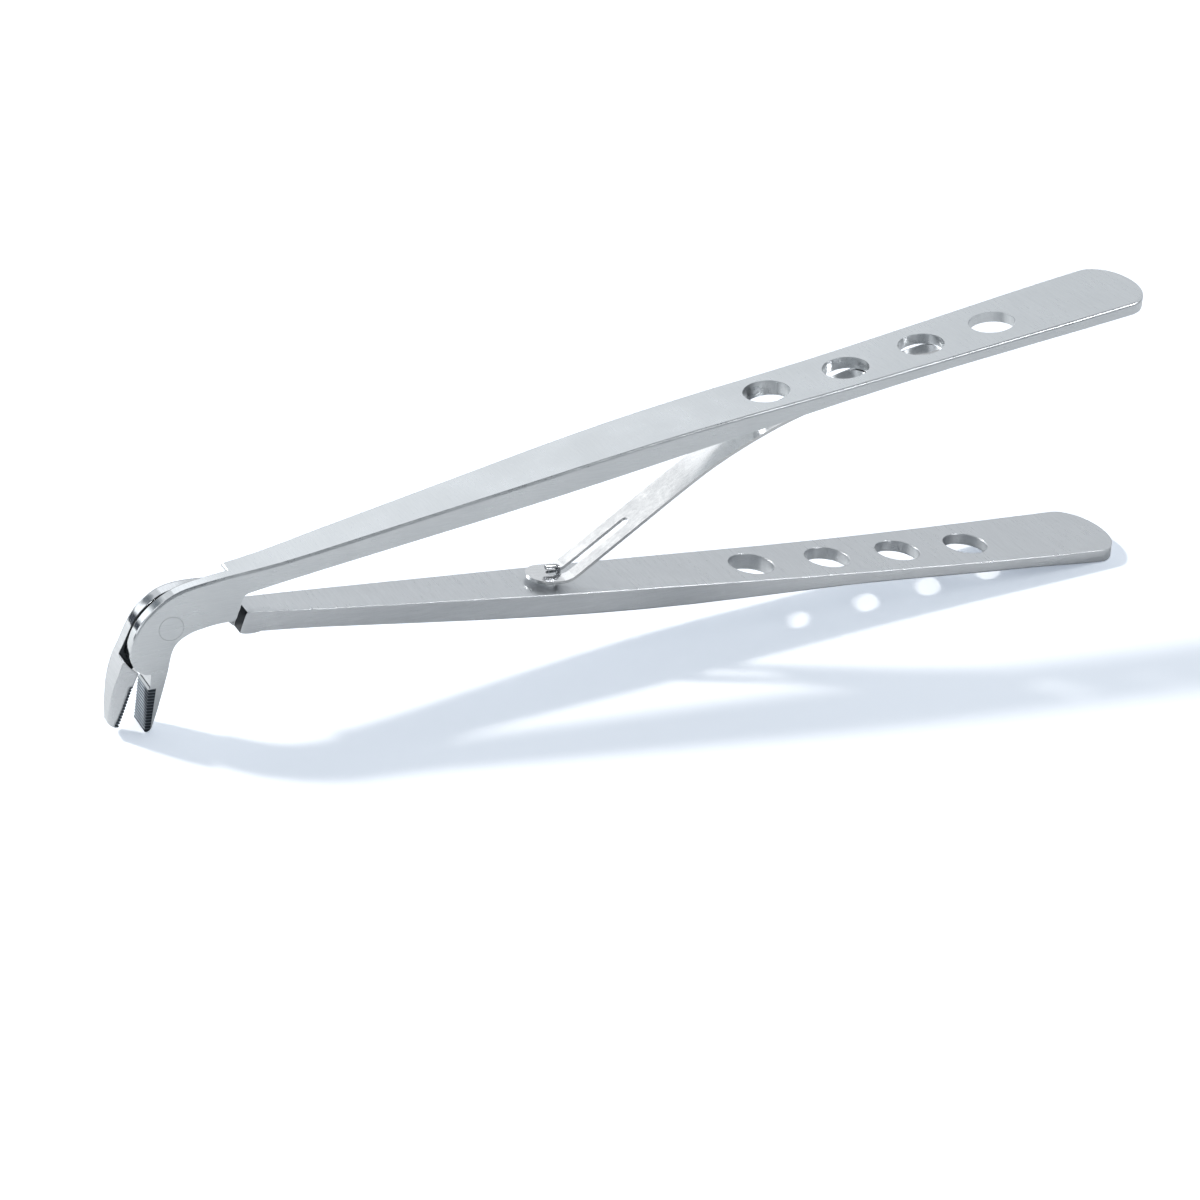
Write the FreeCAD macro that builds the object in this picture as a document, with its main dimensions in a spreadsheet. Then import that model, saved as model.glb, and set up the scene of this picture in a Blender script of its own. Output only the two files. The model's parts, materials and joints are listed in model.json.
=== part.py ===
import FreeCAD, Part
import Sketcher
import math
import os
from FreeCAD import Vector, Placement, Rotation

# Double-arm spring crimping pliers, all steel.
# Frame: origin at the bottom centre of the tool's bounding box, +X towards the handles,
# +Y along the pivot pin, +Z up. The front is the -Y side: the upper arm's half of the lap
# lies there and the lower arm's half lies at the rear.
# The tool rests on the tip of the inner jaw and on the end of the lower handle.
# Tables and sketches are laid out from the centre of the pivot pin.
# Angles about +Y: closing the handles turns the upper arm by a positive angle.

# ---- driving dimensions, millimetres and degrees ----
DIMENSIONS = {
    "pivot_along": -62.355,        # the pivot's place in the frame
    "pivot_height": 13.264,
    "lap_half_width": 1.9,         # half thickness of the tool at the lap and the jaws
    "lap_clearance": 0.02,         # each half stays this far from the middle plane
    "blank_width": 16.0,           # width of the blank the plan shape is cut from
    "pivot_radius": 1.5,
    "pivot_clearance": 0.03,       # radial running clearance in the upper arm
    "pivot_recess": 0.0,           # the pin's ends are flush with the faces
    "edge_radius": 0.3,
    # lengths of the cuts
    "plan_cut": 200.0,
    "lap_cut": 10.0,
    "bore_cut": 12.0,
    "hole_cut": 9.0,
    "slot_cut": 4.0,
    # grip holes: distances from the pivot, tilts of the handle faces
    "hole_radius": 3.0,
    "upper_hole_tilt": 8.3,
    "lower_hole_tilt": 5.4,
    "upper_hole_first": 80.6,
    "upper_hole_second": 91.9,
    "upper_hole_third": 102.9,
    "upper_hole_fourth": 113.4,
    "lower_hole_first": 78.6,
    "lower_hole_second": 89.9,
    "lower_hole_third": 100.6,
    "lower_hole_fourth": 111.2,
    # lap and jaws
    "jaw_shoulder_radius": 6.62,   # each jaw's shoulder, concentric with the pivot
    "notch_radius": 9.08,          # the upper arm's shoulder on the handle side of the lap
    "notch_corner_radius": 9.52,   # and its lower corner
    "jaw_nose": 7.85,              # the outer jaw's half round back meets this line
    "groove_pitch": 0.4,
    "groove_depth": 0.16,
    # spring strip
    "leaf_width": 5.0,
    "leaf_thickness": 0.4,
    "leaf_angle": 33.4,
    "leaf_length": 32.4,
    "leaf_hinge_along": 78.4,
    "leaf_hinge_height": 14.52,
    "bend_gap": 0.12,              # each length stops this far from the bend line
    "root_tilt": 9.31,
    "root_length": 25.8,
    "root_step": 23.0,             # where the fixed end narrows
    "root_step_side": -0.2,        # side of its narrow part
    "slot_width": 1.4,
    "slot_tail": 2.2,              # slot beyond the bend, in the flat end
    "slot_reach": 10.6,            # slot above the bend
    "slot_overrun": 1.0,           # the slot's cut runs past the end of the strip
    "tip_overhang": 4.85,          # flat end measured from the bend
    # hook stud
    "lower_face_tilt": 6.1,        # lower arm's inner face at the hook and the strip's end
    "stud_distance": 50.85,
    "stud_bore_depth": 1.6,
    "wire_radius": 0.32,
    "wire_height": 2.2,
    "wire_hook": 1.9,
    "wire_bend_radius": 0.55,
    "wire_foot": 1.0,              # wire below the arm's face
    # pocket in the upper arm's inner face, above the hook
    "relief_along": 49.2,
    "relief_start": 1.15,          # the cut starts this far above the face
    "relief_tilt": 9.4,
    "relief_depth": 4.0,
    "relief_jaw_side": 3.0,
    "relief_handle_side": 2.2,
    "relief_half_width": 0.9,
}

# ---- station tables: (x, z) from the pivot, unless noted ----
TABLES = {
    # upper arm's outer edge, from the handle end to the heel
    "upper_outer": [
        (134.5, 24.72), (114.7, 21.95), (96.0, 19.25), (84.0, 17.60), (72.0, 16.12),
        (60.0, 14.42), (45.0, 11.84), (30.0, 9.14), (19.2, 7.20), (11.0, 5.85),
        (6.68, 5.37), (3.61, 4.99), (1.16, 4.50), (-0.69, 3.65), (-2.55, 2.27),
        (-3.80, 0.86), (-4.70, -0.93), (-5.13, -3.00)],
    # heel of the upper arm, inside the jaw shoulder radius
    "upper_heel": [(-5.13, -3.00), (-4.88, -3.84), (-4.40, -4.66), (-3.92, -5.10)],
    # back of the inner jaw and the inside of the bend
    "upper_back": [
        (-2.78, -12.62), (-2.34, -11.40), (-1.97, -10.30), (-1.60, -9.05), (-1.22, -7.80),
        (-0.86, -6.55), (-0.48, -5.07), (-0.24, -3.93), (0.02, -3.05), (0.40, -2.33),
        (1.00, -1.73), (2.25, -1.08), (3.48, -0.76), (4.72, -0.57), (5.96, -0.46),
        (7.11, -0.45)],
    # end of the front lobe, from its lower corner up to the arm's inner face
    "upper_lobe": [
        (7.11, -0.45), (7.98, -0.22), (8.22, 0.46), (8.46, 1.04), (8.58, 1.55),
        (8.74, 2.12), (9.08, 2.64), (9.70, 2.95)],
    "upper_inner": [
        (9.70, 2.95), (19.3, 4.72), (30.0, 6.46), (45.0, 8.93), (60.0, 11.53),
        (72.0, 13.62), (84.0, 15.72), (96.0, 17.74), (114.7, 20.50), (134.5, 23.22)],
    # lower handle's outer face
    "lower_outer": [
        (134.5, -13.17), (128.0, -13.12), (122.1, -12.52), (110.0, -11.52), (96.0, -10.32),
        (84.0, -9.52), (72.0, -8.87), (60.0, -7.97), (45.0, -6.40), (30.0, -4.54),
        (19.2, -3.11), (11.0, -2.33)],
    # underside of the lower arm's lap
    "lower_under": [
        (11.0, -2.33), (8.75, -2.32), (8.15, -2.02), (7.70, -1.56), (6.5, -1.40),
        (5.0, -1.40), (3.5, -1.60), (2.2, -2.10), (1.3, -2.90), (0.7, -4.00),
        (0.15, -5.40), (-0.12, -6.30)],
    # handle-side end of the rear lobe
    "lower_lobe": [
        (9.60, 0.42), (9.08, 0.52), (8.80, 0.95), (8.66, 1.90), (8.36, 2.90),
        (7.95, 3.80), (7.62, 4.20)],
    # top of the lap and back of the outer jaw
    "lower_top": [
        (7.62, 4.20), (6.9, 4.00), (5.92, 3.92), (4.80, 3.98), (3.71, 4.08), (2.48, 4.12),
        (1.24, 4.04), (0.01, 3.80), (-1.22, 3.26), (-2.35, 2.44), (-3.11, 1.76),
        (-3.61, 1.10), (-4.13, 0.28), (-4.68, -0.85), (-5.17, -1.90), (-5.62, -2.80),
        (-6.05, -3.60), (-6.61, -5.07), (-7.00, -6.26), (-7.40, -8.15), (-7.66, -10.12),
        (-7.78, -11.30)],
    "lower_inner": [
        (9.60, 0.42), (24.0, -1.20), (44.0, -3.38), (64.0, -5.52), (84.0, -7.64),
        (104.0, -9.52), (122.1, -11.00), (134.5, -11.86)],
    # front shoulder of the lower arm, facing the upper arm's lobe
    "lower_shoulder": [
        (9.70, 0.60), (9.28, 0.30), (9.00, -0.30), (8.74, -1.04), (8.52, -1.70), (8.36, -2.6)],
    # (x, half width) of both handles
    "plan_side": [
        (7.0, 1.9), (10.5, 2.10), (16.5, 2.52), (25.5, 2.95), (37.5, 3.52), (49.5, 4.06),
        (61.5, 4.42), (79.5, 4.84), (103.5, 5.56), (120.0, 6.14), (128.3, 6.30)],
    # (x, half width) of the bulged handle end, from the rounded corner to the middle
    "plan_end": [
        (128.3, 6.30), (129.75, 5.98), (130.85, 5.05), (131.75, 3.70), (132.30, 2.0),
        (132.50, 0.0)],
}

# ends of the two grip faces, (x, z) from the pivot
GRIP_TOP_INNER = (-3.07, -7.50)
GRIP_TIP_INNER = (-3.73, -12.86)
GRIP_TOP_OUTER = (-4.86, -6.70)
GRIP_TIP_OUTER = (-6.70, -11.66)

doc = FreeCAD.newDocument("crimping_pliers")
sheet = doc.addObject("Spreadsheet::Sheet", "Dims")
cells = dict(DIMENSIONS)
for table_name, points in TABLES.items():
    for i, (first, second) in enumerate(points):
        cells["%s_first_%02d" % (table_name, i)] = first
        cells["%s_second_%02d" % (table_name, i)] = second
for row, (alias, number) in enumerate(cells.items(), 1):
    sheet.set("A%d" % row, alias)
    sheet.set("B%d" % row, repr(float(number)))
    sheet.setAlias("B%d" % row, alias)
doc.recompute()


def val(alias):
    return float(sheet.get(alias))


def stations(name):
    """the points of a station table, read from the sheet"""
    return [(val("%s_first_%02d" % (name, i)), val("%s_second_%02d" % (name, i)))
            for i in range(len(TABLES[name]))]


pivot = Vector(val("pivot_along"), 0, val("pivot_height"))
lap_half = val("lap_half_width")
clearance = val("lap_clearance")


# ---- bodies, sketches and features ----
def new_body(name):
    """a body whose own origin is the centre of the pivot pin"""
    body = doc.addObject("PartDesign::Body", name)
    body.Placement = Placement(pivot, Rotation())
    return body


def sketch(body, name, plane, offset=None):
    sk = body.newObject("Sketcher::SketchObject", name)
    support = next(o for o in body.Origin.OriginFeatures if o.Role == plane)
    sk.AttachmentSupport = [(support, "")]
    sk.MapMode = "FlatFace"
    if offset is not None:
        sk.AttachmentOffset = offset
    return sk


def side_sketch(body, name, forward=0.0):
    """sketch on the XZ plane, moved forward (towards -Y)"""
    return sketch(body, name, "XZ_Plane", Placement(Vector(0, 0, forward), Rotation()))


def tilt(x, z, angle):
    """offset from the XY plane: a plane through (x, 0, z) turned about +Y"""
    return Placement(Vector(x, 0, z), Rotation(Vector(0, 1, 0), angle))


def add_fixed(sk, geometry):
    sk.addConstraint(Sketcher.Constraint("Block", sk.addGeometry(geometry, False)))


def spline(sk, pts):
    curve = Part.BSplineCurve()
    curve.interpolate([Vector(a, b, 0) for a, b in pts])
    add_fixed(sk, curve)


def lines(sk, pts, close=False):
    if close:
        pts = list(pts) + [pts[0]]
    for start, end in zip(pts[:-1], pts[1:]):
        add_fixed(sk, Part.LineSegment(Vector(*start, 0), Vector(*end, 0)))


def arc(sk, start, middle, end):
    add_fixed(sk, Part.Arc(Vector(*start, 0), Vector(*middle, 0), Vector(*end, 0)))


def half_round(sk, centre_x, radius, direction):
    """half circle about (centre_x, 0), bulging along +X or -X"""
    arc(sk, (centre_x, radius), (centre_x + direction * radius, 0), (centre_x, -radius))


def tongue(sk, round_x, square_x, half_width):
    """strip along X with a half round end at round_x and a square end at square_x"""
    direction = 1 if round_x > square_x else -1
    centre_x = round_x - direction * half_width
    lines(sk, [(centre_x, -half_width), (square_x, -half_width),
               (square_x, half_width), (centre_x, half_width)])
    half_round(sk, centre_x, half_width, direction)


def circle(sk, radius_expression):
    """circle about the sketch's origin, its radius bound to the sheet"""
    i = sk.addGeometry(Part.Circle(Vector(0, 0, 0), Vector(0, 0, 1), 1.0), False)
    sk.addConstraint(Sketcher.Constraint("PointOnObject", i, 3, -2))
    sk.addConstraint(Sketcher.Constraint("PointOnObject", i, 3, -1))
    k = sk.addConstraint(Sketcher.Constraint("Radius", i, 1.0))
    sk.setExpression("Constraints[%d]" % k, radius_expression)


def extrusion(kind, body, name, sk, length, both, reverse=False):
    feature = body.newObject(kind, name)
    feature.Profile = sk
    if both:
        feature.SideType = "Symmetric"
    feature.Reversed = reverse
    feature.setExpression("Length", "Dims." + length)
    body.Tip = feature
    doc.recompute()


def pad(body, name, sk, length):
    extrusion("PartDesign::Pad", body, name, sk, length, True)


def pocket(body, name, sk, length, both=False, reverse=False):
    """a pocket that must remove material"""
    before = body.Shape.Volume
    extrusion("PartDesign::Pocket", body, name, sk, length, both, reverse)
    if body.Shape.isNull() or before - body.Shape.Volume < 1e-3:
        raise RuntimeError("%s removed nothing" % name)


# ---- places on the arms ----
def height_along(pts):
    """the height at any x, straight between the stations"""
    pts = sorted(pts)

    def height(x):
        for (a, b), (c, d) in zip(pts[:-1], pts[1:]):
            if a <= x <= c:
                return b + (d - b) * (x - a) / (c - a)
        return pts[0][1] if x < pts[0][0] else pts[-1][1]
    return height


def place_at(distance, height):
    """(x, z) of the point on a face at that distance from the pivot"""
    x = distance
    for _ in range(30):
        x = math.sqrt(max(distance * distance - height(x) ** 2, 0.0))
    return x, height(x)


def on_circle(radius, degrees):
    angle = math.radians(degrees)
    return (radius * math.cos(angle), radius * math.sin(angle))


# ---- steps shared by both arms ----
def cut_plan(body, arm, round_jaw):
    """trim to the plan: straight or half round jaw end, widening sides, bulged handle end"""
    side = stations("plan_side")
    root_x = side[0][0]
    square_x = -20.0
    sk = sketch(body, arm + "Plan", "XY_Plane")
    spline(sk, side)
    spline(sk, [(a, -b) for a, b in side])
    jaw_x = lap_half - val("jaw_nose") if round_jaw else square_x
    lines(sk, [side[0], (jaw_x, lap_half)])
    lines(sk, [(jaw_x, -lap_half), (root_x, -side[0][1])])
    if round_jaw:
        half_round(sk, jaw_x, lap_half, -1)
    else:
        lines(sk, [(jaw_x, lap_half), (jaw_x, -lap_half)])
    end = stations("plan_end")
    spline(sk, end + [(a, -b) for a, b in end[-2::-1]])
    # outer limit of the waste
    lines(sk, [(-30, 12), (150, 12), (150, -12), (-30, -12)], close=True)
    pocket(body, arm + "PlanCut", sk, "plan_cut", both=True)


def cut_bore(body, arm, radius_expression):
    sk = side_sketch(body, arm + "Bore")
    circle(sk, radius_expression)
    pocket(body, arm + "BoreCut", sk, "bore_cut", both=True)


def cut_grip_holes(body, arm, height, angle):
    """row of holes square to the handle"""
    for k, ordinal in enumerate(("first", "second", "third", "fourth")):
        x, z = place_at(val("%s_hole_%s" % (arm.lower(), ordinal)), height)
        sk = sketch(body, "%sHole%d" % (arm, k), "XY_Plane", tilt(x, z, angle))
        circle(sk, "Dims.hole_radius")
        pocket(body, "%sHoleCut%d" % (arm, k), sk, "hole_cut", both=True)


# ---- upper arm blank: handle, front half of the lap, inner jaw ----
def make_upper_blank():
    body = new_body("UpperBlank")
    body.Label = "upper_blank"
    outer, heel, back = stations("upper_outer"), stations("upper_heel"), stations("upper_back")
    inner = stations("upper_inner")
    sk = side_sketch(body, "UpperSide")
    spline(sk, outer)
    spline(sk, heel)
    # a relief between the heel and the insert lets the other jaw's corner in when closed
    lines(sk, [heel[-1], (-3.30, -5.48), (-2.66, -5.55), (-2.80, -7.38),
               GRIP_TOP_INNER, GRIP_TIP_INNER])
    # rounded jaw tip
    spline(sk, [GRIP_TIP_INNER, (-3.66, -13.02), (-3.47, -13.12), (-3.20, -13.05),
                (-2.95, -12.86), back[0]])
    spline(sk, back)
    spline(sk, stations("upper_lobe"))
    spline(sk, inner)
    lines(sk, [inner[-1], outer[0]])
    pad(body, "UpperPad", sk, "blank_width")
    cut_plan(body, "Upper", round_jaw=False)

    # the rear half of the lap is cleared for the lower arm: round the jaws ...
    sk = side_sketch(body, "UpperRearJaw", clearance)
    circle(sk, "Dims.jaw_shoulder_radius")
    pocket(body, "UpperRearJawCut", sk, "lap_cut")
    # ... and up to the notch on the handle side, whose lower corner stands back
    # a little further to clear the lower arm when closed
    notch, corner = val("notch_radius"), val("notch_corner_radius")
    bottom, step, top = -20, 19.5, 40      # degrees round the pivot
    sk = side_sketch(body, "UpperRearNotch", clearance)
    arc(sk, on_circle(corner, bottom), on_circle(corner, 0), on_circle(corner, step))
    lines(sk, [on_circle(corner, step), on_circle(notch, step)])
    arc(sk, on_circle(notch, step), on_circle(notch, 30), on_circle(notch, top))
    lines(sk, [on_circle(notch, top), (2.0, 7.5), (2.0, -2.6), on_circle(corner, bottom)])
    pocket(body, "UpperRearNotchCut", sk, "lap_cut")

    cut_bore(body, "Upper", "Dims.pivot_radius + Dims.pivot_clearance")
    cut_grip_holes(body, "Upper", height_along(outer), -val("upper_hole_tilt"))

    # pocket in the inner face that clears the hook when the handles close
    x = val("relief_along")
    z = height_along(inner)(x) + val("relief_start")
    left, right = -val("relief_jaw_side"), val("relief_handle_side")
    half = val("relief_half_width")
    sk = sketch(body, "HookRelief", "XY_Plane", tilt(x, z, -val("relief_tilt")))
    lines(sk, [(left, half), (right, half), (right, -half), (left, -half)], close=True)
    pocket(body, "HookReliefCut", sk, "relief_depth")
    return body


# ---- lower arm blank: handle, rear half of the lap, outer jaw ----
lower_height = height_along(stations("lower_inner"))
stud_x, stud_z = place_at(val("stud_distance"), lower_height)
stud_frame = tilt(stud_x, stud_z, val("lower_face_tilt"))


def make_lower_blank():
    body = new_body("LowerBlank")
    body.Label = "lower_blank"
    outer, under, top = stations("lower_outer"), stations("lower_under"), stations("lower_top")
    inner = stations("lower_inner")
    sk = side_sketch(body, "LowerSide")
    spline(sk, outer)
    spline(sk, under)
    # the rear lobe ends on an arc about the pivot, inside the inner jaw's shoulder
    lobe_start = under[-1]
    lobe_radius = math.hypot(*lobe_start)
    start_angle = math.degrees(math.atan2(lobe_start[1], lobe_start[0]))
    end_angle = math.degrees(math.atan2(-5.12, -3.96))
    lobe_end = on_circle(lobe_radius, end_angle)
    arc(sk, lobe_start, on_circle(lobe_radius, 0.5 * (start_angle + end_angle)), lobe_end)
    lines(sk, [lobe_end, (-4.26, -5.28), GRIP_TOP_OUTER, GRIP_TIP_OUTER])
    # rounded jaw tip
    spline(sk, [GRIP_TIP_OUTER, (-6.80, -11.84), (-7.05, -11.92), (-7.45, -11.84),
                (-7.70, -11.66), top[-1]])
    spline(sk, top)
    spline(sk, stations("lower_lobe"))
    spline(sk, inner)
    lines(sk, [inner[-1], outer[0]])
    pad(body, "LowerPad", sk, "blank_width")
    cut_plan(body, "Lower", round_jaw=True)

    # the front half of the lap is cleared for the upper arm
    sk = side_sketch(body, "LowerFrontJaw", -clearance)
    circle(sk, "Dims.jaw_shoulder_radius")
    pocket(body, "LowerFrontJawCut", sk, "lap_cut", reverse=True)
    sk = side_sketch(body, "LowerFrontShoulder", -clearance)
    shoulder = stations("lower_shoulder")
    spline(sk, shoulder)
    lines(sk, [shoulder[-1], (7.6, -4.0), (2.0, -4.0), (2.0, 7.0), (9.9, 7.0), shoulder[0]])
    pocket(body, "LowerFrontShoulderCut", sk, "lap_cut", reverse=True)

    cut_bore(body, "Lower", "Dims.pivot_radius")
    cut_grip_holes(body, "Lower", lower_height, val("lower_hole_tilt"))

    # small bore for the foot of the hook
    sk = sketch(body, "StudBore", "XY_Plane", stud_frame)
    circle(sk, "Dims.wire_radius")
    pocket(body, "StudBoreCut", sk, "stud_bore_depth")
    return body


# ---- rounded edges of the upper arm ----
def round_upper(blank):
    """fillet the edges of the outer face and of the bend"""
    outer_z = height_along([(a, b) for a, b in stations("upper_outer") if a > -0.7])

    def is_outer(edge):
        if edge.Length < 1.9 or edge.Curve.TypeId != "Part::GeomBSplineCurve":
            return False
        mid = edge.valueAt(0.5 * (edge.FirstParameter + edge.LastParameter)) - pivot
        # the handle's long edges and its end
        if mid.x > 60.0 and abs(mid.z - outer_z(mid.x)) < 0.3:
            return edge.Length > 50.0 or mid.x > 130.0
        # the bend over the lap
        if mid.x < 7.5 and mid.z > 2.0:
            return abs(mid.y) < 2.0 and mid.z - outer_z(max(mid.x, -0.6)) > -1.2
        return False

    radius = val("edge_radius")
    rounded = doc.addObject("Part::Fillet", "UpperRounded")
    rounded.Base = blank
    rounded.Edges = [(i, radius, radius)
                     for i, edge in enumerate(blank.Shape.Edges, 1) if is_outer(edge)]
    doc.recompute()
    if rounded.Shape.isNull() or not rounded.Shape.isValid():
        raise RuntimeError("upper rounding failed")
    return rounded


# ---- jaw inserts: each blank is split along the seam, then the insert is serrated ----
def seat(name, pts):
    """a prism across the jaws that takes in the insert"""
    body = new_body(name)
    sk = side_sketch(body, name + "Outline")
    lines(sk, pts, close=True)
    pad(body, name + "Pad", sk, "blank_width")
    return body


def grooves(name, top, tip, side):
    """V grooves across a grip face that looks along +X (side 1) or -X (side -1)"""
    first_groove, end_margin = 0.35, 0.1
    mouth_lift = 0.04              # the cutter's mouth stands proud of the face
    pitch, depth = val("groove_pitch"), val("groove_depth")
    half_mouth = 0.575 * pitch
    half_length = lap_half + 1.0
    start = Vector(top[0], -half_length, top[1])
    along = Vector(tip[0] - top[0], 0, tip[1] - top[1])
    face_length = along.Length
    along.normalize()
    normal = Vector(-side * along.z, 0, side * along.x)
    cutters = []
    distance = first_groove
    while distance < face_length - end_margin:
        centre = start + along * distance
        mouth = centre + normal * mouth_lift
        corners = [mouth - along * half_mouth, mouth + along * half_mouth,
                   centre - normal * depth]
        face = Part.Face(Part.makePolygon(corners + [corners[0]]))
        cutters.append(face.extrude(Vector(0, 2 * half_length, 0)))
        distance += pitch
    feature = doc.addObject("Part::Feature", name)
    feature.Shape = Part.makeCompound(cutters)
    feature.Placement = Placement(pivot, Rotation())
    return feature


def cut(name, base, tool):
    feature = doc.addObject("Part::Cut", name)
    feature.Base = base
    feature.Tool = tool
    feature.Refine = False
    doc.recompute()
    return feature


def common(name, first, second):
    feature = doc.addObject("Part::MultiCommon", name)
    feature.Shapes = [first, second]
    feature.Refine = False
    doc.recompute()
    return feature


upper_blank = make_upper_blank()
lower_blank = make_lower_blank()
upper_rounded = round_upper(upper_blank)

inner_top, outer_top = GRIP_TOP_INNER[1], GRIP_TOP_OUTER[1]
inner_seat = seat("InnerSeat", [
    (-9.0, inner_top), (-2.08, inner_top), (-3.03, -13.4), (-9.0, -13.4)])
outer_seat = seat("OuterSeat", [
    (-1.0, outer_top), (-5.30, outer_top), (-7.16, -11.70), (-7.2, -13.0), (-1.0, -13.0)])
upper_arm = cut("upper_arm", upper_rounded, inner_seat)
lower_arm = cut("lower_arm", lower_blank, outer_seat)
inner_jaw_insert = cut("inner_jaw_insert",
                       common("InnerInsertBlank", upper_rounded, inner_seat),
                       grooves("InnerGrooves", GRIP_TOP_INNER, GRIP_TIP_INNER, -1))
outer_jaw_insert = cut("outer_jaw_insert",
                       common("OuterInsertBlank", lower_blank, outer_seat),
                       grooves("OuterGrooves", GRIP_TOP_OUTER, GRIP_TIP_OUTER, 1))


# ---- pivot pin: pressed in the lower arm, running in the upper arm ----
def make_pivot_pin():
    pin = doc.addObject("Part::Cylinder", "pivot_pin")
    pin.setExpression("Radius", "Dims.pivot_radius")
    pin.setExpression("Height", "2 * Dims.lap_half_width - 2 * Dims.pivot_recess")
    doc.recompute()
    front_end = pivot + Vector(0, -float(pin.Height) / 2.0, 0)
    pin.Placement = Placement(front_end, Rotation(Vector(1, 0, 0), -90))
    return pin


pivot_pin = make_pivot_pin()

# ---- leaf spring, one strip held as three lengths; local +X points to the handles ----
leaf_half = val("leaf_width") / 2.0
slot_half = val("slot_width") / 2.0
leaf_length = val("leaf_length")
gap = val("bend_gap")
overrun = val("slot_overrun")
hinge_x, hinge_z = val("leaf_hinge_along"), val("leaf_hinge_height")
leaf_slope = math.radians(val("leaf_angle"))
bend_x = hinge_x - leaf_length * math.cos(leaf_slope)
bend_z = hinge_z - leaf_length * math.sin(leaf_slope)


def strip(name, frame, outline, slot=None):
    """flat strip whose mid plane is the frame's; slot is (round end, open end) along X"""
    body = new_body(name)
    sk = sketch(body, name + "_plan", "XY_Plane", frame)
    outline(sk)
    pad(body, name + "_pad", sk, "leaf_thickness")
    if slot is not None:
        sk = sketch(body, name + "_slot", "XY_Plane", frame)
        tongue(sk, slot[0], slot[1], slot_half)
        pocket(body, name + "_slot_cut", sk, "slot_cut", both=True)
    return body


def root_outline(sk):
    """stepped fixed end"""
    step, end, side = val("root_step"), val("root_length"), val("root_step_side")
    lines(sk, [(gap, -leaf_half), (step, -leaf_half), (step, side),
               (end, side), (end, leaf_half), (gap, leaf_half)], close=True)


def leaf_outline(sk):
    lines(sk, [(-gap, -leaf_half), (-gap, leaf_half), (-leaf_length + gap, leaf_half),
               (-leaf_length + gap, -leaf_half)], close=True)


def tip_outline(sk):
    tongue(sk, -val("tip_overhang"), -gap, leaf_half)


spring_root = strip("spring_root", tilt(hinge_x, hinge_z, -val("root_tilt")), root_outline)
spring_leaf = strip("spring_leaf", tilt(hinge_x, hinge_z, -val("leaf_angle")), leaf_outline,
                    slot=(-leaf_length + val("slot_reach"), -leaf_length - overrun))
spring_tip = strip("spring_tip", tilt(bend_x, bend_z, val("lower_face_tilt")), tip_outline,
                   slot=(-val("slot_tail"), overrun))


# ---- hook stud: bent wire in the lower arm, its end over the strip's flat end ----
def make_hook_stud():
    radius, bend = val("wire_radius"), val("wire_bend_radius")
    top = val("wire_height") - radius
    foot = Vector(0, 0, -val("wire_foot"))
    bend_start = Vector(0, 0, top - bend)
    bend_end = Vector(-bend, 0, top)
    diagonal = math.sin(math.pi / 4)
    bend_middle = Vector(-bend * (1 - diagonal), 0, top - bend + bend * diagonal)
    path = Part.Wire([
        Part.makeLine(foot, bend_start),
        Part.Arc(bend_start, bend_middle, bend_end).toShape(),
        Part.makeLine(bend_end, Vector(-val("wire_hook"), 0, top)),
    ])
    section = Part.Wire([Part.makeCircle(radius, foot, Vector(0, 0, 1))])
    stud = doc.addObject("Part::Feature", "hook_stud")
    stud.Shape = path.makePipeShell([section], True, True)
    stud.Placement = Placement(pivot, Rotation()).multiply(stud_frame)
    return stud


hook_stud = make_hook_stud()
doc.recompute()

# ---- checks and output ----
for o in doc.Objects:
    if "Invalid" in o.State or "Error" in o.State:
        raise RuntimeError("%s failed: %s" % (o.Name, o.State))
os.makedirs("parts", exist_ok=True)
for part in (upper_arm, lower_arm, pivot_pin, inner_jaw_insert, outer_jaw_insert,
             spring_root, spring_leaf, spring_tip, hook_stud):
    shape = part.Shape
    if shape.isNull() or not shape.isValid() or len(shape.Solids) < 1:
        raise RuntimeError("%s has a bad shape" % part.Label)
    shape.exportStep("parts/" + part.Label + ".step")
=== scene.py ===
"""Head of a hinged hand tool: two steel arms on a pivot pin, two dark jaw inserts, a hook
stud and a slotted leaf spring.

The handle runs along X with the jaws towards -X, Y is the pin's axis and the width of the
spring, and Z is up. The front is -Y. The scene is in metres; sizes given in millimetres
are multiplied by MM.
"""

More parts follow.
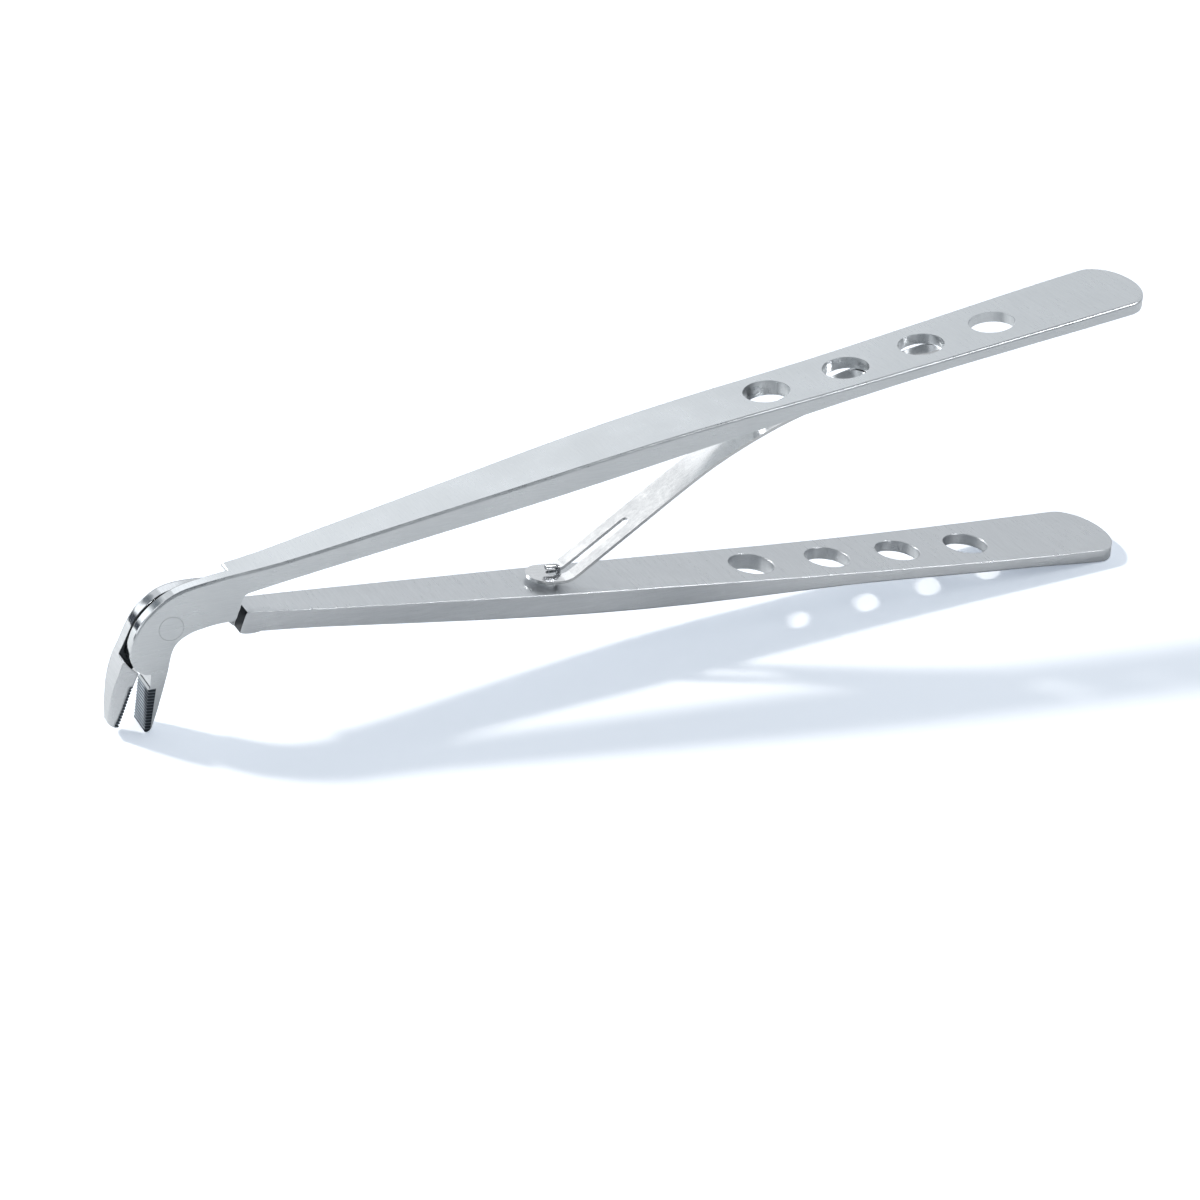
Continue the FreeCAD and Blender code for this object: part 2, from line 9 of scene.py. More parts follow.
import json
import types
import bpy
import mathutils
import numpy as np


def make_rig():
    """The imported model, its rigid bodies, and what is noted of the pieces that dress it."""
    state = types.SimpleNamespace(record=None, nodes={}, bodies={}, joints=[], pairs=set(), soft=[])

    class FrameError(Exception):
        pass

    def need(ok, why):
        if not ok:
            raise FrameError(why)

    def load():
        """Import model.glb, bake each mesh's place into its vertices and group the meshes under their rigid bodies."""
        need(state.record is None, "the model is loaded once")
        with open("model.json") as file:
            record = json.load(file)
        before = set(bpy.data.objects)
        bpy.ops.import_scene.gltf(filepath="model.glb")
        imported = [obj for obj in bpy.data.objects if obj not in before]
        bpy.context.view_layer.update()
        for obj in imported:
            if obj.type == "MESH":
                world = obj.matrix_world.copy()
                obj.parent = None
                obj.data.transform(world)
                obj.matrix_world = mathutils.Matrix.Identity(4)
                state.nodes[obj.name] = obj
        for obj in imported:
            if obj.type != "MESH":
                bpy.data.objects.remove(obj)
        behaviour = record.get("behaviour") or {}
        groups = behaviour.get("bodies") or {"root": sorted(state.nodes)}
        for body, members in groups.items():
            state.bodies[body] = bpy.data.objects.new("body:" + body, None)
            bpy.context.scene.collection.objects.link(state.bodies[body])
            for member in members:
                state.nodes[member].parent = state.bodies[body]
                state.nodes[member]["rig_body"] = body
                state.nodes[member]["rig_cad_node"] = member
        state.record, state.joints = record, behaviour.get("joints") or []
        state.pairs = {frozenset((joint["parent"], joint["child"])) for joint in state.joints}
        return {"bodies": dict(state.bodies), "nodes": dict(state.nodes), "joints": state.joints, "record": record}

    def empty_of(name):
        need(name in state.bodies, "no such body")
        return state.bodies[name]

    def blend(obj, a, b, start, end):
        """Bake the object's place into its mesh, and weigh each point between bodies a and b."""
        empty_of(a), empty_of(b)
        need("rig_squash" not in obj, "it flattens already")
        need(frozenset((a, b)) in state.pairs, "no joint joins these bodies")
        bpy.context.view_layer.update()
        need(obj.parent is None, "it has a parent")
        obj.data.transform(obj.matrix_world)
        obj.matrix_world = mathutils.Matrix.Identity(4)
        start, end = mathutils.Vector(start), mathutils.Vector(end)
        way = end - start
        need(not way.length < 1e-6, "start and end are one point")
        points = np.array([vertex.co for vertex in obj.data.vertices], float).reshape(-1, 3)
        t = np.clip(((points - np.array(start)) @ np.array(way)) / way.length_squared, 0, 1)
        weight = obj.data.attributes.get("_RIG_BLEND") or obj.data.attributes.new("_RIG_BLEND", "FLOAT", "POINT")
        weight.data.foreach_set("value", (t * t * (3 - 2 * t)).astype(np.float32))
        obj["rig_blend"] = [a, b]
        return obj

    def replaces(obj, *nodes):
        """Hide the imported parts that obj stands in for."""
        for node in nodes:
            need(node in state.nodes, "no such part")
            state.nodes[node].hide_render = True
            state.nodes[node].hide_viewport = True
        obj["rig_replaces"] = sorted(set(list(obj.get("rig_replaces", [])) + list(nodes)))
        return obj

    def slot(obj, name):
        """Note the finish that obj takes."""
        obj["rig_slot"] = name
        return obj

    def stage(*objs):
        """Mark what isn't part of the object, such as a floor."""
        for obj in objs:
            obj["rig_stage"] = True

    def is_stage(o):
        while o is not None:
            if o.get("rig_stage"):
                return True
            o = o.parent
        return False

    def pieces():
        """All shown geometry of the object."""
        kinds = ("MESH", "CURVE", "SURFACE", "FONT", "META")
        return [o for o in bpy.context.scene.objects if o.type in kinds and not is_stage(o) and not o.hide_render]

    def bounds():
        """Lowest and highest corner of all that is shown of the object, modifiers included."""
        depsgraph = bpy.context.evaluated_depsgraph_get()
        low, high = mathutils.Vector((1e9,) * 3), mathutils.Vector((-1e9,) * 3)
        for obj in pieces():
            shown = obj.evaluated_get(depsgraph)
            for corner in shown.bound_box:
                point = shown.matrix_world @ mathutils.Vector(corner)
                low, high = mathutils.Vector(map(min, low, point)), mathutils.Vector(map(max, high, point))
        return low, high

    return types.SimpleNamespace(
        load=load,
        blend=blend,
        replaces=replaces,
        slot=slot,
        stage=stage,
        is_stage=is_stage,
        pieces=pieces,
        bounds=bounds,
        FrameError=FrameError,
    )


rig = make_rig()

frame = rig.load()

import bisect
import json
import math

import bmesh
import bpy
from mathutils import Matrix, Vector

MM = 0.001
PIN_X, PIN_Z = -62.355, 13.264    # centre of the pivot pin, millimetres

cad_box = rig.bounds()
parts = frame["nodes"]


def from_pin(x, z):
    """Scene position of a point given in millimetres from the pin."""
    return ((x + PIN_X) * MM, 0, (z + PIN_Z) * MM)


def make_object(name, bm):
    mesh = bpy.data.meshes.new(name)
    bm.to_mesh(mesh)
    bm.free()
    made = bpy.data.objects.new(name, mesh)
    bpy.context.scene.collection.objects.link(made)
    return made


# ------------------------------------------------------------------ shader node helpers
RISE = (0.0, 1.0)
FALL = (1.0, 0.0)


class Graph:
    """Short calls for building one node tree."""

    def __init__(self, tree):
        self.tree = tree
        tree.nodes.clear()

    def add(self, kind, **settings):
        node = self.tree.nodes.new(kind)
        for key, value in settings.items():
            setattr(node, key, value)
        return node

    def feed(self, socket, value):
        """Link a socket, or set a number, a vector or an RGB colour."""
        if isinstance(value, bpy.types.NodeSocket):
            self.tree.links.new(value, socket)
        elif socket.type == "RGBA":
            socket.default_value = (*value, 1.0)
        else:
            socket.default_value = value

    def split(self, vector):
        node = self.add("ShaderNodeSeparateXYZ")
        self.feed(node.inputs[0], vector)
        return node.outputs

    def math(self, operation, *values):
        node = self.add("ShaderNodeMath", operation=operation)
        for socket, value in zip(node.inputs, values):
            self.feed(socket, value)
        return node.outputs[0]

    def product(self, first, *others):
        for other in others:
            first = self.math("MULTIPLY", first, other)
        return first

    def ramp(self, value, span, to=RISE, interpolation="LINEAR"):
        """Map the range span onto the range to."""
        node = self.add("ShaderNodeMapRange", interpolation_type=interpolation)
        ends = zip(("From Min", "From Max", "To Min", "To Max"), (*span, *to))
        for key, end in ends:
            node.inputs[key].default_value = end
        self.feed(node.inputs["Value"], value)
        return node.outputs["Result"]

    def ease(self, value, span, to=RISE):
        return self.ramp(value, span, to, "SMOOTHSTEP")

    def noise(self, vector, scale, detail, roughness, stretch=(1.0, 1.0, 1.0)):
        mapping = self.add("ShaderNodeMapping")
        mapping.inputs["Scale"].default_value = stretch
        self.feed(mapping.inputs["Vector"], vector)
        texture = self.add("ShaderNodeTexNoise")
        texture.inputs["Scale"].default_value = scale
        texture.inputs["Detail"].default_value = detail
        texture.inputs["Roughness"].default_value = roughness
        self.feed(texture.inputs["Vector"], mapping.outputs[0])
        return texture.outputs["Fac"]

    def mix(self, factor, start, end):
        node = self.add("ShaderNodeMix", data_type="FLOAT")
        for key, value in (("Factor", factor), ("A", start), ("B", end)):
            self.feed(node.inputs[key], value)
        return node.outputs["Result"]

    def mix_color(self, factor, start, end, blend="MIX"):
        node = self.add("ShaderNodeMix", data_type="RGBA", blend_type=blend)
        # a colour mix has its two colours at inputs 6 and 7
        for key, value in (("Factor", factor), (6, start), (7, end)):
            self.feed(node.inputs[key], value)
        return node.outputs[2]


def new_material(name):
    material = bpy.data.materials.new(name)
    material.use_nodes = True
    graph = Graph(material.node_tree)
    output = graph.add("ShaderNodeOutputMaterial")
    shader = graph.add("ShaderNodeBsdfPrincipled")
    graph.feed(output.inputs[0], shader.outputs[0])
    return material, graph, shader


# ------------------------------------------------------------------ steel
# noise stretch that gives brush lines across the handle (along Y) or along it (along X)
ACROSS = (1.0, 0.06, 1.0)
ALONG = (0.05, 1.0, 1.0)
GRAIN_SCALE = 9000.0
GRAIN_SPAN = (0.30, 0.70)         # part of the grain noise that carries contrast
POLISH_X = (-0.0600, -0.0545)     # the arms' polish fades out between these, metres
JOINT_SHADOW = (0.016, 0.020, 0.024)
# colour of the painted shade in the serration grooves of the jaw inserts
GROOVE_SHADE_COLOR = (0.018, 0.022, 0.028)
STRIPE_PITCH = 0.4                # millimetres
STRIPE_SHIFT = STRIPE_PITCH * 10.5 - 0.15


def joint_shade_mask(graph, place, normal):
    """Painted shade in the joint, darkening the lap seam, recessed shoulder and heel; distances in metres."""
    place = graph.split(place)
    from_x = graph.math("SUBTRACT", place["X"], PIN_X * MM)
    from_z = graph.math("SUBTRACT", place["Z"], PIN_Z * MM)
    square = graph.math("ADD", graph.product(from_x, from_x), graph.product(from_z, from_z))
    near_pin = graph.ease(graph.math("SQRT", square), span=(0.00655, 0.00668), to=FALL)

    # thin line around the middle plane
    middle = graph.ease(graph.math("ABSOLUTE", place["Y"]), span=(0.00020, 0.00034), to=FALL)
    seam = graph.product(near_pin, middle)

    # faces turned towards -X, a little to the +X side of the pin
    faces_jaw = graph.ease(normal["X"], span=(-0.75, -0.55), to=FALL)
    begins = graph.ease(from_x, span=(0.0078, 0.0083))
    ends = graph.ease(from_x, span=(0.0096, 0.0101), to=FALL)
    shoulder = graph.product(faces_jaw, graph.product(begins, ends))
    mask = graph.math("MAXIMUM", seam, shoulder)

    # faces turned down, below the pin and to its -X side
    heel = graph.product(
        graph.ease(normal["Z"], span=(-0.75, -0.55), to=FALL),
        near_pin,
        graph.ease(from_z, span=(-0.0034, -0.0030), to=(0.75, 0.0)),
        graph.ease(from_x, span=(-0.0035, -0.0030), to=FALL))
    return graph.math("MAXIMUM", mask, heel)


def groove_shade_mask(graph, place, origin, across):
    """Evenly spaced stripes of painted shade for the serration grooves, counted from origin in the direction across
    (x, z).
    """
    place = graph.split(place)
    origin_x, _, origin_z = from_pin(*origin)
    offset = graph.math(
        "ADD",
        graph.product(graph.math("SUBTRACT", place["X"], origin_x), across[0]),
        graph.product(graph.math("SUBTRACT", place["Z"], origin_z), across[1]))
    shifted = graph.math("ADD", offset, STRIPE_SHIFT * MM)
    phase = graph.math("FRACT", graph.math("DIVIDE", shifted, STRIPE_PITCH * MM))
    centred = graph.math("ABSOLUTE", graph.math("SUBTRACT", phase, 0.5))
    return graph.ease(graph.product(centred, 2.0), span=(0.30, 0.85), to=(0.95, 0.0))


def steel(name, light, dark, rough, rough_spread=0.10, grain=ALONG, side_grain=ALONG, bump=0.25,
          worn=0.5, side_tone=0.96, arm=False, stripes=None, soft=None):
    """Brushed steel, with its own grain on the sides that face +Y and -Y.

    arm adds the joint's painted shadows and the polish, stripes is (origin, across) for the mask of
    painted groove shade, and soft is the radius in millimetres of edges rounded in shading only.
    """
    material, graph, shader = new_material(name)
    place = graph.add("ShaderNodeTexCoord").outputs["Object"]
    normal = graph.split(graph.add("ShaderNodeNewGeometry").outputs["True Normal"])
    side = graph.ease(graph.math("ABSOLUTE", normal["Y"]), span=(0.55, 0.8))

    def brush_lines(scale, detail, roughness):
        broad, narrow = (graph.noise(place, scale, detail, roughness, stretch)
                         for stretch in (grain, side_grain))
        return graph.mix(side, broad, narrow)

    fine = brush_lines(scale=GRAIN_SCALE, detail=3.0, roughness=0.7)
    coarse = brush_lines(scale=GRAIN_SCALE * 0.3, detail=2.0, roughness=0.6)
    lines = graph.math("ADD", graph.product(fine, 0.6), graph.product(coarse, 0.4))

    # colour: brush lines, broad patches, paler worn spots, then the darker sides
    color = graph.mix_color(graph.ramp(lines, span=GRAIN_SPAN), dark, light)
    patch = graph.noise(place, scale=45.0, detail=3.0, roughness=0.5, stretch=(1.0, 1.6, 1.6))
    patch_color = tuple(0.5 * (a + b) * 0.96 for a, b in zip(light, dark))
    color = graph.mix_color(graph.ramp(patch, span=(0.3, 0.7), to=(0.0, 0.25)), color, patch_color)
    wear = graph.noise(place, scale=700.0, detail=5.0, roughness=0.7)
    wear = graph.ease(wear, span=(0.60, 0.74), to=(0.0, worn * 0.5))
    color = graph.mix_color(wear, color, tuple(min(1.0, v * 1.10) for v in light))
    side_color = (side_tone, side_tone, side_tone * 1.005)
    color = graph.mix_color(side, color, side_color, blend="MULTIPLY")
    if arm:
        # painted shade where the joint's seam, shoulder and heel lie in shadow
        shadow = graph.product(joint_shade_mask(graph, place, normal), 0.95)
        color = graph.mix_color(shadow, color, JOINT_SHADOW)
    if stripes:
        # stripes of painted shade standing for the shaded serration grooves
        color = graph.mix_color(groove_shade_mask(graph, place, *stripes), color, GROOVE_SHADE_COLOR)
    graph.feed(shader.inputs["Base Color"], color)
    shader.inputs["Metallic"].default_value = 1.0

    # roughness follows the brush lines, with smudges on top
    smudge = graph.noise(place, scale=160.0, detail=4.0, roughness=0.55)
    roughness = graph.math(
        "ADD",
        graph.ramp(lines, span=GRAIN_SPAN, to=(rough - rough_spread, rough + rough_spread)),
        graph.ramp(smudge, span=(0.35, 0.7), to=(-0.03, 0.05)))
    relief = graph.add("ShaderNodeBump")
    relief.inputs["Distance"].default_value = 0.00003
    if arm:
        # smoother towards -X, with little of it on the sides
        polish = graph.ease(graph.split(place)["X"], span=POLISH_X, to=FALL)
        off_side = graph.math("SUBTRACT", 1.0, graph.product(side, 0.92))
        polish = graph.product(polish, off_side)
        roughness = graph.mix(polish, roughness, 0.11)
        bump = graph.mix(polish, bump, bump * 0.12)
    graph.feed(relief.inputs["Strength"], bump)
    graph.feed(shader.inputs["Roughness"], roughness)
    graph.feed(relief.inputs["Height"], lines)
    if soft:
        bevel = graph.add("ShaderNodeBevel", samples=6)
        bevel.inputs["Radius"].default_value = soft * MM
        graph.feed(relief.inputs["Normal"], bevel.outputs[0])
    graph.feed(shader.inputs["Normal"], relief.outputs[0])
    return material


SATIN = dict(light=(0.72, 0.745, 0.76), dark=(0.59, 0.615, 0.635), rough=0.33)
CARBIDE = dict(light=(0.27, 0.305, 0.345), dark=(0.15, 0.175, 0.20), rough=0.34,
               grain=(1.0, 0.12, 1.0), side_grain=(1.0, 1.0, 1.0), bump=0.5, worn=0.9,
               side_tone=0.6)
WIRE_GRAIN = (1.0, 1.0, 0.2)

upper_steel = steel("satin_steel_upper", **SATIN, grain=ACROSS, arm=True)
lower_steel = steel("satin_steel_lower", light=(0.69, 0.71, 0.73), dark=(0.55, 0.57, 0.59),
                    rough=0.34, grain=ACROSS, arm=True, soft=0.30)
pin_steel = steel("satin_steel_pin", **SATIN)
spring_steel = steel("bright_spring_strip", light=(0.84, 0.845, 0.85), dark=(0.68, 0.69, 0.70),
                     rough=0.17, rough_spread=0.05, bump=0.15, side_tone=0.72)
wire_steel = steel("polished_wire", light=(0.55, 0.56, 0.58), dark=(0.38, 0.39, 0.41),
                   rough=0.16, rough_spread=0.05, grain=WIRE_GRAIN, side_grain=WIRE_GRAIN,
                   bump=0.1)
inner_carbide = steel("dark_carbide_inner", **CARBIDE,
                      stripes=((-3.07, -7.50), (-0.1222, -0.9925)))
outer_carbide = steel("dark_carbide_outer", **CARBIDE,
                      stripes=((-4.86, -6.70), (-0.3478, -0.9376)))


# ------------------------------------------------------------------ CAD pieces
def paint(name, material):
    part = parts[name]
    part.data.materials.clear()
    part.data.materials.append(material)
    return part


def dress(name, material, bevel):
    """Paint a piece and round its edges; bevel is in millimetres."""
    part = paint(name, material)
    bpy.context.view_layer.objects.active = part
    try:
        bpy.ops.mesh.customdata_custom_splitnormals_clear()
    except RuntimeError:
        pass    # guards against the operator refusing this piece
    part.data.polygons.foreach_set("use_smooth", [True] * len(part.data.polygons))
    weld = part.modifiers.new("weld", "WELD")
    weld.merge_threshold = 2e-6
    planar = part.modifiers.new("planar", "DECIMATE")
    planar.decimate_type = "DISSOLVE"
    planar.angle_limit = math.radians(0.5)
    edges = part.modifiers.new("soft_edges", "BEVEL")
    edges.width = bevel * MM
    edges.segments = 3
    edges.limit_method = "ANGLE"
    edges.angle_limit = math.radians(28)
    edges.harden_normals = True
    edges.use_clamp_overlap = True
    edges.miter_outer = "MITER_ARC"
    normals = part.modifiers.new("normals", "WEIGHTED_NORMAL")
    normals.keep_sharp = True
    normals.weight = 80


paint("upper_arm", upper_steel)
dress("lower_arm", lower_steel, bevel=0.28)
paint("pivot_pin", pin_steel)
paint("inner_jaw_insert", inner_carbide)
paint("outer_jaw_insert", outer_carbide)
dress("hook_stud", wire_steel, bevel=0.08)


# ------------------------------------------------------------------ leaf spring, millimetres
HALF_WIDTH = 2.5
THICKNESS = 0.4
SLOT_HALF = 0.7                   # half width of the slot
SLOT_BEFORE, SLOT_AFTER = 10.6, 2.2    # slot's reach on each side of the bend
NOTCH = 2.8                       # the front half is missing over this length at the root
BEND_REACH = 1.25                 # rounding of the bend, each way from its corner
PATH_STEP = 0.16
ROW_STEP = 0.35
MIN_ROW_GAP = 0.008
TIP_HALF = 0.02                   # least half width at the round tip
SPREAD = (0.0, 0.2, 0.45, 0.72, 1.0)    # places of the vertices from slot to outer edge
SPLIT_X = 63.5                    # where the upper length meets the lower one, from the pin

# centre line of the curved part, (x, z) from the pin
CURVE = ((90.0, 16.18), (86.6, 15.22), (83.0, 14.26), (79.64, 13.18),
         (76.88, 12.10), (74.14, 10.90), (71.4, 9.55), (68.69, 8.02))


def slope(degrees):
    return Vector((math.cos(math.radians(degrees)), math.sin(math.radians(degrees))))


def control_points(corner):
    """Side view from the fixed end to the free end: root, curve, straight, bend, foot."""
    root_origin, root = Vector((78.4, 14.52)), slope(9.31)
    straight, foot = slope(33.4), slope(-6.1)
    points = [root_origin + root * d for d in (25.8, 22.0, 18.0, 14.6)]
    points += [Vector(p) for p in CURVE]
    points += [corner + straight * d for d in (16.0, 12.0, 8.0, 5.0, 3.0)]
    start, end = corner + straight * BEND_REACH, corner - foot * BEND_REACH
    for k in range(1, 6):
        t = k / 6.0
        points.append(start * (1 - t) ** 2 + corner * 2 * t * (1 - t) + end * t * t)
    points += [corner - foot * d for d in (BEND_REACH, 2.4, 3.6, 4.85)]
    return points


def catmull(points, step):
    """Points along a smooth curve through the given ones, about step apart."""
    curve = []
    padded = [points[0], *points, points[-1]]
    for before, start, end, after in zip(padded, padded[1:], padded[2:], padded[3:]):
        count = max(2, int((end - start).length / step))
        for k in range(count):
            t = k / count
            t2, t3 = t * t, t * t * t
            curve.append(0.5 * ((2 * start) + (-before + end) * t
                                + (2 * before - 5 * start + 4 * end - after) * t2
                                + (-before + 3 * start - 3 * end + after) * t3))
    curve.append(points[-1])
    return curve


pin = Vector((PIN_X, PIN_Z))
corner = Vector((51.351, -3.316))
path = catmull([point + pin for point in control_points(corner)], PATH_STEP)
arc = [0.0]                       # length along the path at each of its points
for a, b in zip(path, path[1:]):
    arc.append(arc[-1] + (b - a).length)
total = arc[-1]
corner = corner + pin
bend_at = min(zip(path, arc), key=lambda pair: (pair[0] - corner).length)[1]
split_at = min(zip(path, arc), key=lambda pair: abs(pair[0].x - (SPLIT_X + PIN_X)))[1]
slot_start, slot_end = bend_at - SLOT_BEFORE, bend_at + SLOT_AFTER
tip_centre = total - HALF_WIDTH   # centre of the round free end


def along(s):
    """Point and upward normal of the centre line at length s."""
    s = min(max(s, 0.0), total)
    i = min(bisect.bisect_right(arc, s) - 1, len(arc) - 2)
    point = path[i].lerp(path[i + 1], (s - arc[i]) / (arc[i + 1] - arc[i]))
    tangent = (path[min(i + 3, len(path) - 1)] - path[max(i - 2, 0)]).normalized()
    return point, Vector((tangent.y, -tangent.x))


def round_off(radius, distance):
    """Half width of a circle at a distance from its centre."""
    return math.sqrt(max(radius * radius - distance ** 2, 0.0))


def half_widths(s):
    """Distances from the middle plane to the slot's edge and to the outer edge."""
    outer = HALF_WIDTH
    if s > tip_centre:
        outer = max(round_off(HALF_WIDTH, s - tip_centre), TIP_HALF)
    inner = 0.0
    if slot_start < s < slot_end:
        inner = SLOT_HALF
        if s < slot_start + SLOT_HALF:
            inner = round_off(SLOT_HALF, slot_start + SLOT_HALF - s)
        elif s > slot_end - SLOT_HALF:
            inner = round_off(SLOT_HALF, s - slot_end + SLOT_HALF)
    return inner, outer


def row_stations(start, end):
    """Even rows, with extra ones at the slot's ends, the round tip and the notch."""
    count = int((end - start) / ROW_STEP)
    rows = {round(start + (end - start) * i / count, 4) for i in range(count + 1)}
    for centre, way in ((slot_start + SLOT_HALF, -1), (slot_end - SLOT_HALF, 1)):
        for k in range(9):
            s = centre + way * SLOT_HALF * math.sin(math.pi / 2 * k / 8)
            if start < s < end:
                rows.add(round(s, 4))
    for k in range(15):
        s = tip_centre + HALF_WIDTH * math.sin(math.pi / 2 * k / 14)
        if start < s <= end:
            rows.add(round(s, 4))
    if start < NOTCH < end:
        rows.update((round(NOTCH, 4), round(NOTCH + 0.01, 4)))
    rows = sorted(rows)
    kept = [rows[0]]
    for s in rows[1:]:
        if s - kept[-1] > MIN_ROW_GAP:
            kept.append(s)
    return kept


def place_key(place):
    return tuple(round(v, 7) for v in place)


def strip_piece(name, start, end):
    """Length of the strip: an upper and a lower skin, joined by walls at their borders."""
    bm = bmesh.new()
    grid = []                     # per row: front and back half, each a list of vertex pairs
    below = {}                    # place on the upper skin to place on the lower one
    rows = row_stations(start, end)
    for s in rows:
        inner, outer = half_widths(s)
        point, normal = along(s)
        halves = []
        for way in (-1, 1):
            pairs = []
            for fraction in SPREAD:
                y = way * (inner + (outer - inner) * fraction)
                pair = []
                for level in (0.5, -0.5):
                    skin = point + normal * (THICKNESS * level)
                    pair.append(bm.verts.new((skin.x * MM, y * MM, skin.y * MM)))
                below[place_key(pair[0].co)] = place_key(pair[1].co)
                pairs.append(pair)
            halves.append(pairs)
        grid.append(halves)

    for row, next_row, next_s in zip(grid, grid[1:], rows[1:]):
        for half in (0, 1):
            if half == 0 and next_s < NOTCH + 0.005:
                continue
            near, far = row[half], next_row[half]
            for j in range(len(SPREAD) - 1):
                for layer in (0, 1):
                    bm.faces.new((near[j][layer], near[j + 1][layer],
                                  far[j + 1][layer], far[j][layer]))
    bmesh.ops.remove_doubles(bm, verts=bm.verts, dist=2e-7)
    bm.normal_update()            # the skins have normals before the walls are added

    at_place = {place_key(vert.co): vert for vert in bm.verts}
    for edge in [edge for edge in bm.edges if len(edge.link_faces) == 1]:
        first, second = edge.verts
        lower = [below.get(place_key(vert.co)) for vert in (first, second)]
        if None not in lower:
            bm.faces.new((first, second, at_place[lower[1]], at_place[lower[0]]))
    bmesh.ops.recalc_face_normals(bm, faces=bm.faces)

    piece = make_object(name, bm)
    mesh = piece.data
    mesh.materials.append(spring_steel)
    mesh.polygons.foreach_set("use_smooth", [True] * len(mesh.polygons))
    mesh.set_sharp_from_angle(angle=math.radians(40))
    return piece


upper_strip = strip_piece("leaf_spring_upper", 0.0, split_at)
lower_strip = strip_piece("leaf_spring_lower", split_at, total)
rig.replaces(upper_strip, "spring_root", "spring_leaf")
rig.replaces(lower_strip, "spring_tip")
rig.slot(upper_strip, "spring_steel")
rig.slot(lower_strip, "spring_steel")
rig.blend(upper_strip, "upper_arm", "spring_leaf",
         start=from_pin(91.5, 16.5), end=from_pin(66.5, 6.8))
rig.blend(lower_strip, "spring_leaf", "spring_tip",
         start=from_pin(52.6, -2.5), end=from_pin(49.8, -3.1))


# ------------------------------------------------------------------ studio
def floor(half=12.0, gap=0.00002):
    """White floor just under the product, glowing for the camera only."""
    bm = bmesh.new()
    z = cad_box[0][2] - gap
    corners = ((-half, -half), (half, -half), (half, half), (-half, half))
    bm.faces.new([bm.verts.new((x, y, z)) for x, y in corners])
    ground = make_object("floor", bm)

    material, graph, shader = new_material("floor_white")
    place = graph.add("ShaderNodeTexCoord").outputs["Object"]
    mottle = graph.noise(place, scale=6.0, detail=2.0, roughness=0.4)
    color = graph.mix_color(graph.ramp(mottle, span=(0.3, 0.7)),
                            (0.93, 0.945, 0.96), (0.95, 0.96, 0.97))
    graph.feed(shader.inputs["Base Color"], color)
    graph.feed(shader.inputs["Roughness"], graph.ramp(mottle, span=(0.3, 0.7), to=(0.5, 0.6)))
    shader.inputs["Specular IOR Level"].default_value = 0.1
    graph.feed(shader.inputs["Emission Color"], (0.84, 0.96, 1.14))
    camera_ray = graph.add("ShaderNodeLightPath").outputs["Is Camera Ray"]
    graph.feed(shader.inputs["Emission Strength"],
               graph.ramp(camera_ray, span=(0.0, 1.0), to=(0.0, 0.36)))
    ground.data.materials.append(material)
    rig.stage(ground)


LIGHT_TARGET = Vector((-0.012, 0, 0.013))


def area(name, direction, distance, size, power, color, size_y=None):
    """Area light in a direction from the target, aimed back at it."""
    direction = Vector(direction).normalized()
    light = bpy.data.lights.new(name, "AREA")
    light.energy = power
    light.color = color
    light.size = size
    if size_y:
        light.shape = "RECTANGLE"
        light.size_y = size_y
    lamp = bpy.data.objects.new(name, light)
    lamp.location = LIGHT_TARGET + direction * distance
    lamp.rotation_euler = direction.to_track_quat("Z", "Y").to_euler()
    bpy.context.scene.collection.objects.link(lamp)
    return lamp


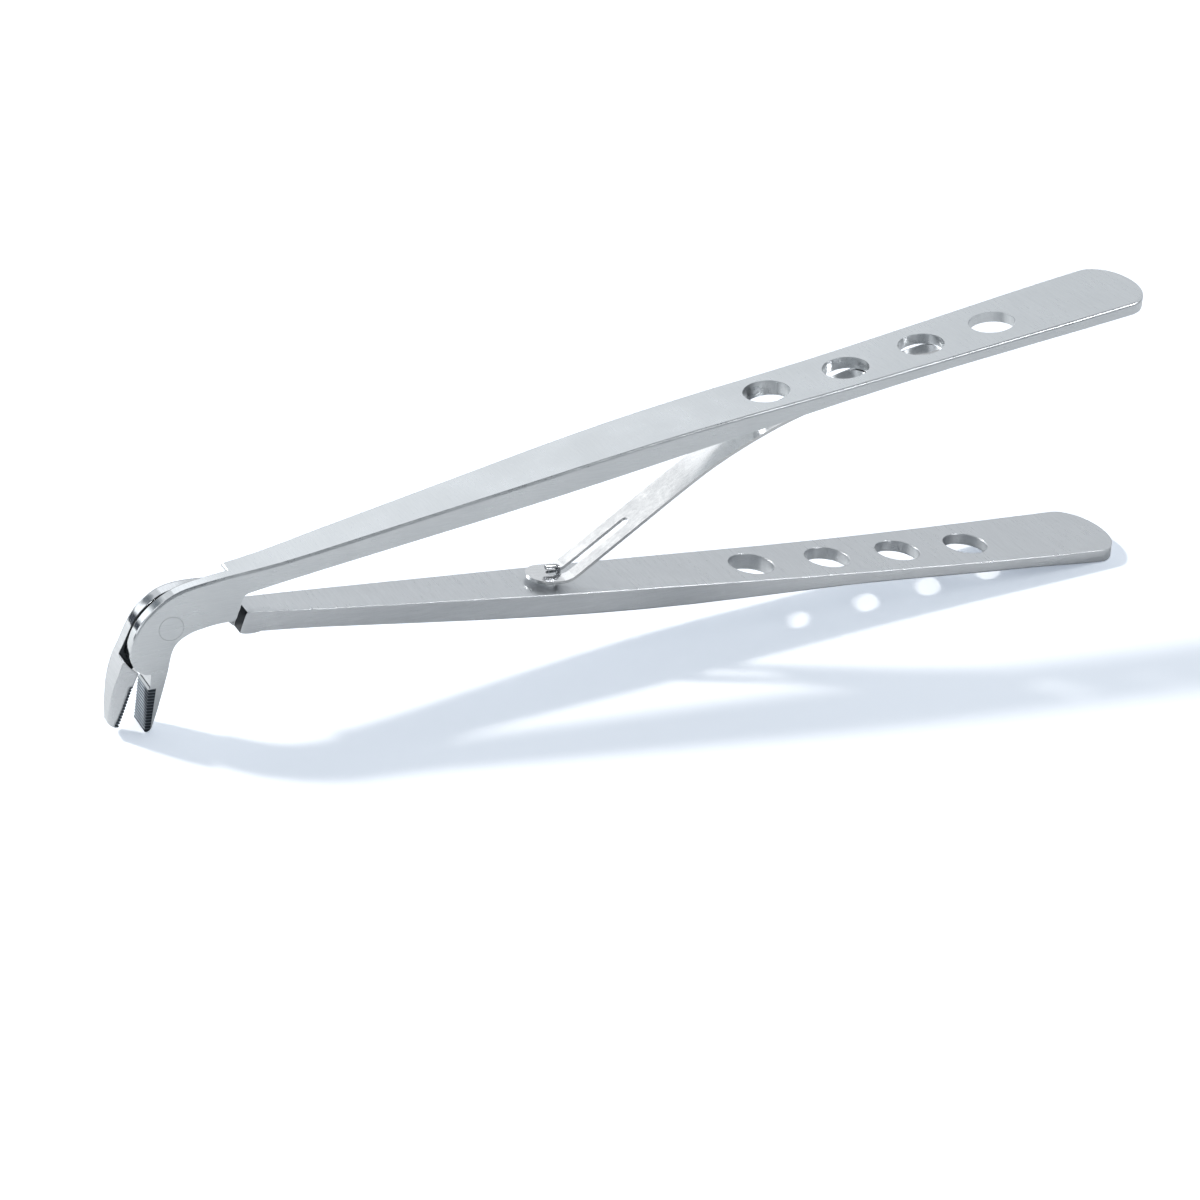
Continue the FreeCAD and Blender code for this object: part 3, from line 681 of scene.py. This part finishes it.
def world():
    """Surroundings for the steel to reflect, painted by direction."""
    studio = bpy.data.worlds.new("studio")
    bpy.context.scene.world = studio
    studio.use_nodes = True
    graph = Graph(studio.node_tree)
    output = graph.add("ShaderNodeOutputWorld")
    background = graph.add("ShaderNodeBackground")
    graph.feed(output.inputs[0], background.outputs[0])
    direction = graph.add("ShaderNodeTexCoord").outputs["Generated"]
    toward = graph.split(direction)

    # grey sky, brighter with height, then dark overhead and dim towards the front
    color = graph.mix_color(graph.ease(toward["Z"], span=(0.10, 0.50)),
                            (0.66, 0.685, 0.71), (0.83, 0.855, 0.88))
    color = graph.mix_color(graph.ease(toward["Z"], span=(0.64, 0.85)), color, (0.24, 0.26, 0.28))
    color = graph.mix_color(graph.ease(toward["Y"], span=(-0.35, 0.25), to=FALL),
                            color, (0.33, 0.35, 0.37))

    # level bands at the back left: heights where each rises and falls, colour
    back_left = graph.product(graph.ease(toward["X"], span=(-0.34, -0.24), to=FALL),
                              graph.ease(toward["Y"], span=(0.1, 0.4)))
    for rise, fall, band_color in (((0.35, 0.39), (0.46, 0.51), (0.05, 0.08, 0.11)),
                                   ((0.14, 0.18), (0.32, 0.36), (1.6, 1.65, 1.7)),
                                   ((-0.2, -0.1), (0.10, 0.14), (0.06, 0.07, 0.09))):
        band = graph.product(graph.ease(toward["Z"], rise), graph.ease(toward["Z"], fall, FALL))
        color = graph.mix_color(graph.product(back_left, band), color, band_color)

    # dark round spot high at the front
    spot = graph.add("ShaderNodeVectorMath", operation="DOT_PRODUCT")
    graph.feed(spot.inputs[0], direction)
    spot.inputs[1].default_value = Vector((0.20, -0.52, 0.83)).normalized()
    color = graph.mix_color(graph.ease(spot.outputs["Value"], span=(0.965, 0.985)),
                            color, (0.015, 0.02, 0.025))
    graph.feed(background.inputs["Color"], color)
    background.inputs["Strength"].default_value = 1.0


def camera():
    lens = bpy.data.cameras.new("camera")
    holder = bpy.data.objects.new("camera", lens)
    bpy.context.scene.collection.objects.link(holder)
    right = Vector((0.8987442, -0.4368252, 0.0379828))
    up = Vector((0.1716742, 0.4302695, 0.8862258))
    forward = Vector((0.4034686, 0.7899696, -0.4616938))
    pose = Matrix((right, up, -forward)).transposed().to_4x4()
    pose.translation = (-0.1028171506 + PIN_X * MM, -0.3125246345, 0.1745356896 + PIN_Z * MM)
    holder.matrix_world = pose
    lens.sensor_width = 36.0
    lens.lens = 94.65
    lens.clip_start = 0.01
    lens.clip_end = 20.0
    bpy.context.scene.camera = holder


floor()
area("key_back_left", direction=(-0.48, 0.64, 0.58), distance=1.2, size=0.10, power=11.0,
     color=(1.0, 0.985, 0.96))
area("soft_back", direction=(0.10, 0.80, 0.60), distance=1.5, size=0.8, size_y=0.4, power=0.5,
     color=(0.97, 0.98, 1.0))
edge_light = area("edge_front_right", direction=(0.52, -0.42, 0.745), distance=1.3, size=0.26,
                  power=7.0, color=(1.0, 1.0, 1.0))
edge_light.visible_diffuse = False
area("fill_left", direction=(-0.95, -0.15, 0.35), distance=1.2, size=0.45, power=0.6,
     color=(0.97, 0.98, 1.0))
world()
camera()

view = bpy.context.scene.view_settings
view.view_transform = "Standard"
view.look = "None"
view.exposure = 0.0
view.gamma = 1.0

vis_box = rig.bounds()
with open("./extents.json", "w") as fh:
    json.dump({"cad": [list(map(float, cad_box[0])), list(map(float, cad_box[1]))],
               "visual": [list(map(float, vis_box[0])), list(map(float, vis_box[1]))]}, fh)
